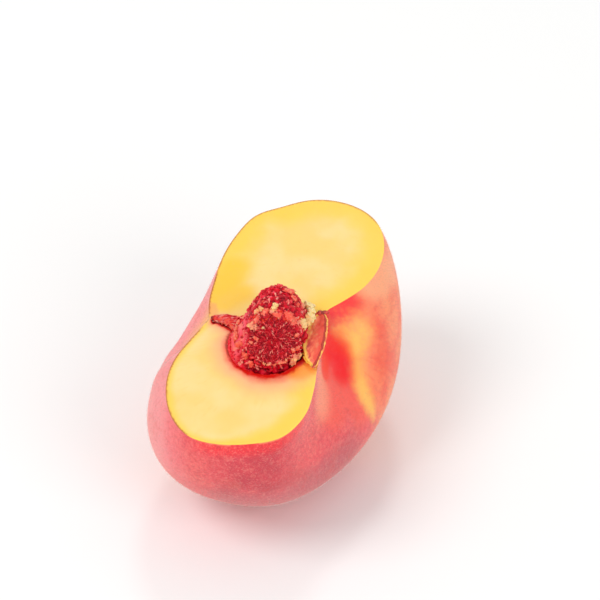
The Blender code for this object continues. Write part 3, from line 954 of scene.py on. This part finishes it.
torn_flesh = new_material("torn_wet_peach_flesh")
torn_place = add_node(torn_flesh, "TexCoord", outlet="Object")
torn_blotch = add_node(torn_flesh, "TexNoise", {
    "Vector": torn_place, "Scale": 1 / (TORN_BLOTCH_WIDE * MM), "Detail": 3.0,
})
torn_grain = add_node(torn_flesh, "TexNoise", {"Vector": torn_place, "Scale": 1 / (TORN_GRAIN_WIDE * MM)})
set_surface(torn_flesh, {
    "Base Color": painted(torn_flesh, "#FFE0A0", [
        ("tone", 0.1, 0.4, 1.0, "#FFC47C", torn_blotch, 0.5),
        ("tone", 0.35, 0.65, 1.0, "#FF9878", torn_blotch, 0.9),
        ("tone", 0.65, 0.95, 1.0, "#FA5C48", torn_blotch, 0.9),
        ("tone", 0.95, 1.2, 1.0, "#D41E2C", torn_blotch, 0.9),
    ]),
    "Roughness": 0.33,
    "IOR": 1.38,
    "Subsurface Weight": 0.5,
    "Subsurface Radius": (1.0, 0.7, 0.4),
    "Subsurface Scale": 0.2 * MM,
    "Normal": add_node(torn_flesh, "Bump", {"Height": torn_grain, "Strength": 0.4, "Distance": 0.06 * MM}),
})
torn.data.materials.append(torn_flesh)
bpy.ops.object.shade_smooth()
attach(torn, "root")


# Blossom scar: a thin corky skin with red streaks where the flower stood, cut through lengthwise. A thin
# yellow edge of flesh borders it beside the stone, and a raised orange edge of peel on the other side.

# Its two sides as corners in the cut plane; all sizes here are fruit millimetres
SCAR_INNER = [(8.9, 7.4), (8.3, 3.8), (8.3, 0.0), (9.2, -3.6), (11.0, -6.6), (13.5, -8.6)]
SCAR_OUTER = [(8.9, 7.4), (10.6, 5.7), (11.6, 3.5), (12.6, 0.2), (13.4, -4.4), (13.5, -8.6)]
SCAR_RISE = 0.9
SCAR_SAG = 1.6
SCAR_CREASES = 0.25
SCAR_THICK = 0.5


def along_line(line, share):
    """A point of a smooth line through some corners, 0 at its start and 1 at its end."""
    line = [line[0], *line, line[-1]]
    whole = min(int(share * (len(line) - 3)), len(line) - 4)
    t = share * (len(line) - 3) - whole
    a, b, c, d = [np.array(corner, float) for corner in line[whole:whole + 4]]
    bend, twist = 2 * a - 5 * b + 4 * c - d, 3 * b - a - 3 * c + d
    return 0.5 * (2 * b + (c - a) * t + bend * t * t + twist * t ** 3)


bpy.ops.mesh.primitive_grid_add(x_subdivisions=24, y_subdivisions=60, size=1)
scar = bpy.context.object
scar.name = "blossom_scar"
scar_places = np.array([vert.co for vert in scar.data.vertices]) + (0.5, 0.5, 0)
for number, (u, v, _) in enumerate(scar_places):
    inner, outer = along_line(SCAR_INNER, v), along_line(SCAR_OUTER, v)
    across_scar = inner + (outer - inner) * u
    crease = noise.fractal(Vector((*across_scar, 0.0)) * 0.8, 1.0, 2.0, 3)
    rise = SCAR_RISE * (1 - SCAR_SAG * u * (1 - u)) + SCAR_CREASES * crease
    scar_places[number] = (*across_scar, rise)
note_on_vertices(scar, "across_scar", np.array([vert.co.x + 0.5 for vert in scar.data.vertices]))
move_to(scar, scar_places)
bpy.ops.object.mode_set(mode="EDIT")
bpy.ops.mesh.select_all(action="SELECT")
bpy.ops.mesh.remove_doubles(threshold=0.02 * MM)
bpy.ops.object.mode_set(mode="OBJECT")
apply_modifier(scar, "SOLIDIFY", thickness=SCAR_THICK * MM, offset=-1)

# Corky scar tissue: dry, matt and finely wrinkled, streaked with red along its length. Widths in mm:
CORK_STREAK_WIDE = 0.9
CORK_STREAK_STRETCH = (1.0, 0.22, 1.0)
CORK_GRAIN_WIDE = 0.25

cork = new_material("corky_scar_tissue")
cork_place = add_node(cork, "TexCoord", outlet="Object")
cork_streak = add_node(cork, "TexNoise", {
    "Vector": add_node(cork, "VectorMath", {0: cork_place, 1: CORK_STREAK_STRETCH}, operation="MULTIPLY"),
    "Scale": 1 / (CORK_STREAK_WIDE * MM),
    "Detail": 3.0,
})
cork_grain = add_node(cork, "TexNoise", {
    "Vector": cork_place, "Scale": 1 / (CORK_GRAIN_WIDE * MM), "Detail": 3.0,
})
set_surface(cork, {
    "Base Color": painted(cork, "#FF8A60", [
        (cork_streak, 0.5, 0.64, 0.8, "#E85A4C"),
        (cork_streak, 0.6, 0.72, 0.7, "#B42C38"),
        (cork_streak, 0.44, 0.34, 0.9, "#FFB880"),
        ("across_scar", 0.25, 0.75, 0.85, "#EE5444", cork_streak, 0.6),
        # painted shadow: a dark line along the outer side, under the raised peel edge
        ("across_scar", 0.9, 0.94, 0.7, "#A02C26"),
        ("across_scar", 0.3, 0.05, 1.0, "#FFCC5A", cork_streak, 0.4),
    ]),
    "Roughness": 0.6,
    "IOR": 1.42,
    "Subsurface Weight": 0.15,
    "Subsurface Scale": 0.6 * MM,
    "Normal": add_node(cork, "Bump", {"Height": cork_grain, "Strength": 0.6, "Distance": 0.12 * MM}),
})
scar.data.materials.append(cork)
bpy.ops.object.shade_smooth()
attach(scar, "root")


# Edges of the scar: a ragged roll of moist golden flesh beside the stone, where the scar tore away from it,
# and a raised roll of dry orange peel on the other side, where the scar has grown into the skin.


def thin_edge(name, line, radius_mm, rise_mm, raggedness, shares=40, end_radius=0.35):
    """A thin uneven roll of tissue along a line of the cut plane, thinner at both ends."""
    bpy.ops.curve.primitive_bezier_curve_add()
    roll = bpy.context.object
    roll.name = name
    roll.data.splines.clear()
    spline = roll.data.splines.new("POLY")
    spline.points.add(shares - 1)
    for number, point in enumerate(spline.points):
        share = number / (shares - 1)
        x, y = along_line(line, share)
        wobble = Vector([rng.gauss(0, raggedness) for axis in range(3)])
        point.co = (*(fruit_to_part @ ((Vector((x, y, rise_mm)) + wobble) * MM)), 1.0)
        thickness = 0.35 + 0.65 * math.sin(math.pi * share) ** 0.5
        point.radius = (thickness + (end_radius - thickness) * share ** 4) * rng.uniform(0.7, 1.25)
    roll.data.bevel_depth = radius_mm * MM
    roll.data.bevel_resolution = 2
    roll.data.use_fill_caps = True
    bpy.ops.object.convert(target="MESH")
    bpy.ops.object.shade_smooth()
    return bpy.context.object


def blotched_material(name, blotch_wide, ground, start, end, tint, surface):
    """A finish of one colour with soft blotches of another, so many millimetres wide."""
    material = new_material(name)
    blotch = add_node(material, "TexNoise", {
        "Vector": add_node(material, "TexCoord", outlet="Object"), "Scale": 1 / (blotch_wide * MM),
    })
    set_surface(material, {"Base Color": painted(material, ground, [(blotch, start, end, 1.0, tint)])})
    set_surface(material, surface)
    return material


flesh_edge = thin_edge("scar_flesh_edge", SCAR_INNER, radius_mm=0.22, rise_mm=SCAR_RISE, raggedness=0.14)
flesh_edge.data.materials.append(blotched_material(
    "golden_flesh_edge", 1.2, "#FFD24E", 0.55, 0.65, "#E8963C",
    {"Roughness": 0.45, "Subsurface Weight": 0.2, "Subsurface Scale": 0.5 * MM},
))
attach(flesh_edge, "root")

peel_edge = thin_edge(
    "scar_peel_edge", SCAR_OUTER, radius_mm=0.26, rise_mm=SCAR_RISE - 0.1, raggedness=0.05
)
peel_edge.data.materials.append(blotched_material(
    "dry_orange_peel_edge", 1.5, "#FFC05A", 0.5, 0.65, "#F87A48", {"Roughness": 0.5},
))
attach(peel_edge, "root")


# Stained lip: the crimson rim of flesh that still holds the stone on the stem side. It is flesh soaked with
# the stone's red juice, wet and a little see-through, and it grows out of the hollow's edge.
# Its corners stand at these turns round the stone, in radians from the stem side to the lower lobe:
LIP_TURNS = [0.2 + 0.14 * step for step in range(10)]

at_hollow_rim = np.flatnonzero(in_hollow & on_cut)
lip_line = []
for lip_turn in LIP_TURNS:
    nearest = at_hollow_rim[np.argmin(np.abs(-round_stone[at_hollow_rim] - lip_turn))]
    lip_line.append(places[nearest][:2])
lip = thin_edge(
    "stained_lip", lip_line, radius_mm=0.36, rise_mm=0.05, raggedness=0.03, shares=60, end_radius=0.2
)
lip.data.materials.append(blotched_material("stained_wet_flesh", 1.0, "#F0102C", 0.5, 0.65, "#FF4448", {
    "Roughness": 0.3,
    "IOR": 1.38,
    "Subsurface Weight": 0.4,
    "Subsurface Radius": (1.0, 0.2, 0.2),
    "Subsurface Scale": 0.8 * MM,
}))
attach(lip, "root")


# Curled peel: a tip of torn skin at the upper corner of the scar, dried dark and matt. It hangs on the skin
# where the halves were pulled apart, and narrows to a point. Its corners in the cut plane:
CURL = [(8.0, 5.2), (9.0, 6.2), (10.0, 6.9), (10.9, 7.3)]

curl = thin_edge(
    "curled_peel", CURL, radius_mm=0.6, rise_mm=0.9, raggedness=0.03, shares=14, end_radius=0.1
)
curl.data.materials.append(blotched_material(
    "dry_dark_peel", 0.8, "#D8483C", 0.45, 0.6, "#8A2420", {"Roughness": 0.55},
))
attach(curl, "root")


# Down: the short pale hairs that make the skin velvety. Each is a fine closed spike that leans toward the
# blossom end; they stand on two halves of the skin, so that neither piece grows too large.
HAIRS_A_PIECE = 42000
HAIR_LONG = (0.28, 0.5)
HAIR_WIDE = 0.016
HAIR_ROOT = 0.03
HAIR_SPREAD = 0.45
HAIR_LEAN = (0.35, 0, 0)
BARE_FOOT = 0.8 * MM

draw = np.random.default_rng(5)
half.data.calc_loop_triangles()
corners = np.array([tri.vertices for tri in half.data.loop_triangles if tri.material_index == 0])
skin_points = np.array([vert.co for vert in half.data.vertices])
skin_normals = np.array([vert.normal for vert in half.data.vertices])
a, b, c = (skin_points[corners[:, corner]] for corner in range(3))
area = np.linalg.norm(np.cross(b - a, c - a), axis=1) * (np.minimum(np.minimum(a, b), c)[:, 2] > BARE_FOOT)

# Peach down: fine pale hairs that let most light through, so they only soften the skin's colour
down = new_material("peach_down")
set_surface(down, {
    "Base Color": srgb("#FFE9DF"),
    "Roughness": 0.6,
    "Specular IOR Level": 0.2,
    "Alpha": 0.16,
})
for name, chosen in [("down_upper", a[:, 1] >= 0), ("down_lower", a[:, 1] < 0)]:
    odds = area * chosen
    picked = draw.choice(len(area), HAIRS_A_PIECE, p=odds / odds.sum())
    share = np.sort(draw.random((HAIRS_A_PIECE, 2)), axis=1)
    share = np.stack([share[:, 0], share[:, 1] - share[:, 0], 1 - share[:, 1]], axis=1)[:, :, None]
    root = (skin_points[corners[picked]] * share).sum(axis=1)
    stand = (skin_normals[corners[picked]] * share).sum(axis=1)
    lean = stand + HAIR_SPREAD * draw.normal(size=stand.shape) + HAIR_LEAN
    lean /= np.linalg.norm(lean, axis=1)[:, None]
    side = np.cross(lean, draw.normal(size=stand.shape))
    side /= np.linalg.norm(side, axis=1)[:, None]
    other = np.cross(lean, side)
    root = root - HAIR_ROOT * MM * stand
    wide = HAIR_WIDE * MM
    tip = root + lean * (draw.uniform(*HAIR_LONG, (HAIRS_A_PIECE, 1)) * MM)
    turns = [2 * math.pi * corner / 3 for corner in range(3)]
    ring = [root + wide * (math.cos(t) * side + math.sin(t) * other) for t in turns]
    hair_points = np.stack([*ring, tip], axis=1).reshape(-1, 3)
    first = 4 * np.arange(HAIRS_A_PIECE)[:, None, None]
    hair_faces = (first + [[0, 2, 1], [0, 1, 3], [1, 2, 3], [2, 0, 3]]).reshape(-1, 3)
    fuzz_mesh = bpy.data.meshes.new(name)
    fuzz_mesh.from_pydata(hair_points.tolist(), [], hair_faces.tolist())
    fuzz = bpy.data.objects.new(name, fuzz_mesh)
    scene.collection.objects.link(fuzz)
    fuzz_mesh.materials.append(down)
    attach(fuzz, "root")
